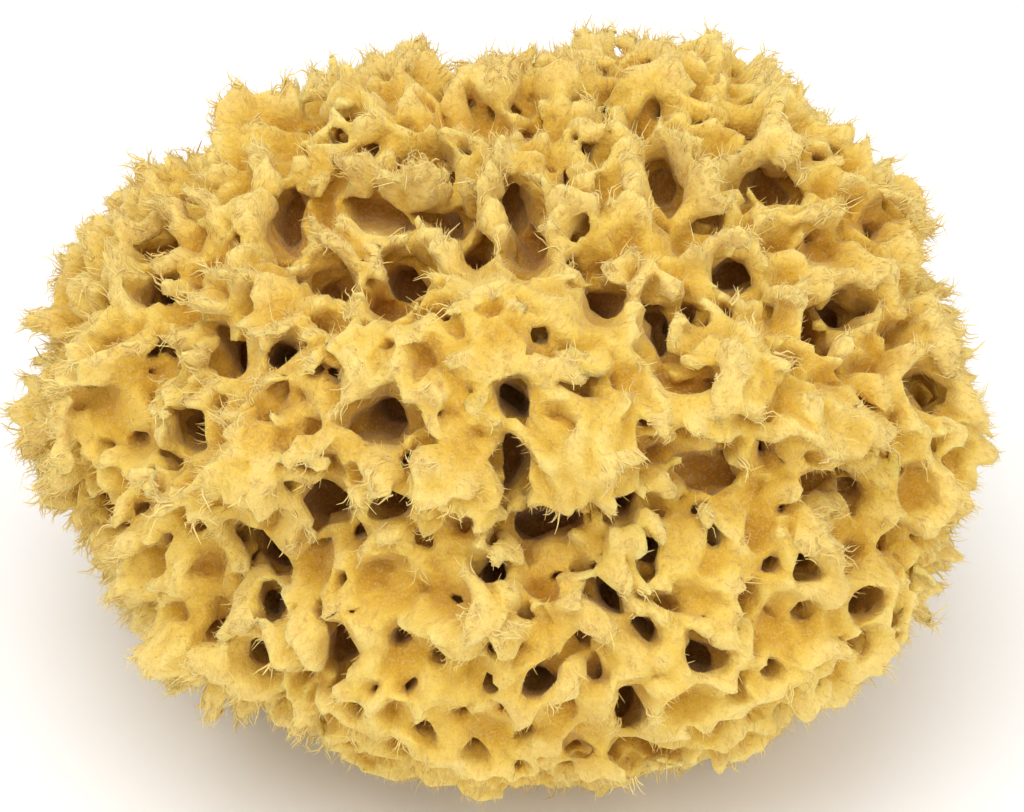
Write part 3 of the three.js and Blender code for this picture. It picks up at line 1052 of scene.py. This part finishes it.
def strand_finish(name, tip, paleness):
    """A fibre has the colour of its wall at the root, painted shade included, and fades towards its tip; in
    sheltered places it fades less, as painted shade.
    """
    material, bench, shader = new_finish(name)
    where = bench.add("ShaderNodeTexCoord", out="Object")
    mapped = bench.add("ShaderNodeUVMap", {"uv_map": "OFBake"})
    place = bench.add("ShaderNodeSeparateXYZ", None, {0: mapped})
    along, tone = place.output("Y"), place.output("X")
    walls = wall_colour_and_shade(bench, where, mottle(bench, where, 0.0011, 2.0))
    # Painted shade: fibres among much sponge keep more of the darker wall colour.
    unshaded = 1.0 - noted(bench, "near").step(0.35, 0.75) * 0.8
    faded = bench.mix((0.25 + along * 0.75) * unshaded * paleness, walls, (*tip, 1))
    varied = bench.mix(tone.step(0.5, 1.0) * 0.4, faded, (*colour(218, 172, 76), 1))
    bench.tree.links.new(varied.socket, shader.inputs["Base Color"])
    bench.tree.links.new((0.6 + along * 0.25).socket, shader.inputs["Roughness"])
    shader.inputs["Specular IOR Level"].default_value = 0.25
    shader.inputs["Sheen Weight"].default_value = 0.32
    return material


# ---- Making it ----

def join_body(piece):
    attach(piece, "root")
    return piece


skeleton = join_body(build_skeleton(skeleton_finish()))
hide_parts("sponge")
strand_look = strand_finish("frayed strand", colour(252, 229, 142), 0.9)
nap_look = strand_finish("nap fibre", colour(247, 221, 132), 0.75)
strands = strand_tree("tuft strands", strand_look, joints=4, Density=2000000.0, Apart=0.00145,
                      Length=0.0032, Thickness=0.00028, Lean=0.40, Hang=0.35, Comb=0.5,
                      Thick_Wall=0.38, Thin_Wall=0.24, Deepest=0.5, Seed=3)
nap = strand_tree("nap", nap_look, kinds=6, strands=1, sides=3, joints=2, Density=3000000.0,
                  Apart=0.00095, Length=0.0019, Thickness=0.00019, Lean=0.45, Hang=0.15, Comb=1.0,
                  Thick_Wall=0.75, Thin_Wall=0.45, Deepest=3.0, Seed=8)
for name, tree, seed in (("tuft_strands", strands, 3), ("nap_a", nap, 8), ("nap_b", nap, 9)):
    join_body(tree.grow(name, skeleton, Seed=seed))


# ---- Floor, light and camera ----

def lay_floor():
    side = 3.0
    corners = np.array([(-side, -side, 0), (side, -side, 0), (side, side, 0), (-side, side, 0)])
    floor = mesh_object("floor", corners, np.array([[0, 1, 2, 3]]))
    material = bpy.data.materials.new("pale floor")
    material.use_nodes = True
    shader = material.node_tree.nodes["Principled BSDF"]
    shader.inputs["Base Color"].default_value = (0.95, 0.95, 0.95, 1)
    shader.inputs["Roughness"].default_value = 0.9
    floor.data.materials.append(material)


def light_panel(name, place, aim, side, power):
    data = bpy.data.lights.new(name, "AREA")
    data.shape = "DISK"
    data.size = side
    data.energy = power
    lamp = bpy.data.objects.new(name, data)
    lamp.location = place
    lamp.rotation_euler = (Vector(aim) - Vector(place)).to_track_quat("-Z", "Y").to_euler()
    bpy.context.scene.collection.objects.link(lamp)


CAMERA_ELEVATION = 38.0
CAMERA_DISTANCE = 0.62
CAMERA_AIM = Vector((0.0, 0.0, 0.0485))

def place_camera():
    data = bpy.data.cameras.new("camera")
    data.sensor_width = 36.0
    data.lens = 132.0
    camera = bpy.data.objects.new("camera", data)
    rise = math.radians(CAMERA_ELEVATION)
    camera.location = CAMERA_AIM + CAMERA_DISTANCE * Vector((0, -math.cos(rise), math.sin(rise)))
    camera.rotation_euler = (CAMERA_AIM - camera.location).to_track_quat("-Z", "Y").to_euler()
    bpy.context.scene.collection.objects.link(camera)
    bpy.context.scene.camera = camera


lay_floor()
light_panel("key", (-0.15, -0.20, 0.85), (0, 0, 0.04), 0.8, 3.2)
light_panel("fill", (0.45, -0.65, 0.55), (0, 0, 0.04), 0.8, 1.4)
world = bpy.data.worlds.new("studio")
world.use_nodes = True
world.node_tree.nodes["Background"].inputs["Color"].default_value = (1, 1, 1, 1)
world.node_tree.nodes["Background"].inputs["Strength"].default_value = 0.9
bpy.context.scene.world = world
bpy.context.scene.view_settings.view_transform = "Standard"
place_camera()
